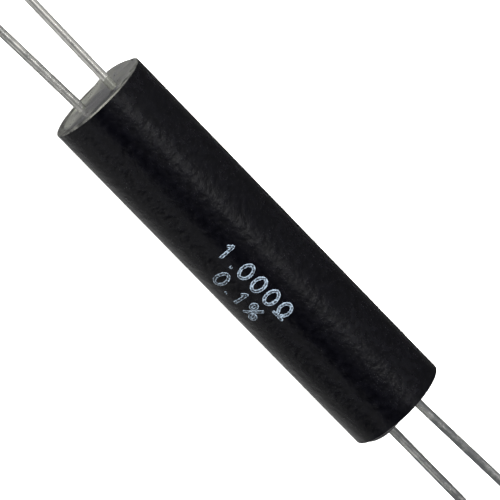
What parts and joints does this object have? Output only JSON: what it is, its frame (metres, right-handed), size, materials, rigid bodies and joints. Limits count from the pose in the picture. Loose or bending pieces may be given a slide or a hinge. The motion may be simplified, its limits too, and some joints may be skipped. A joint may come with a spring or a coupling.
{
  "type": "axial resistor",
  "caption": "Cylindrical black power resistor, moulded and potted, with a pair of tinned wire leads leaving each end for separate current and sense connections.",
  "frame": {"origin": "middle of the body's axis", "axes": "+X along the body towards its right end, +Y across it towards the side of the sense leads, +Z towards the marked side's top; the body is 48 mm long and 12 mm across"},
  "size_m": [0.124, 0.012, 0.012],
  "materials": {
    "shell_phenolic": "satin black moulding",
    "potting_epoxy": "filled casting resin, dark grey, slightly uneven",
    "core_ceramic": "unglazed",
    "cap_steel": "plated pressing",
    "ribbon_alloy": "rolled copper-manganese alloy",
    "tinned_copper": "tinned, drawn wire"
  },
  "bodies": {
    "root": {"shell": "shell_phenolic", "epoxy_fill": "potting_epoxy", "ceramic_core": "core_ceramic", "end_cap_left": "cap_steel", "end_cap_right": "cap_steel", "resistance_winding": "ribbon_alloy", "current_lead_left": "tinned_copper", "sense_lead_left": "tinned_copper", "current_lead_right": "tinned_copper", "sense_lead_right": "tinned_copper"}
  },
  "joints": []
}
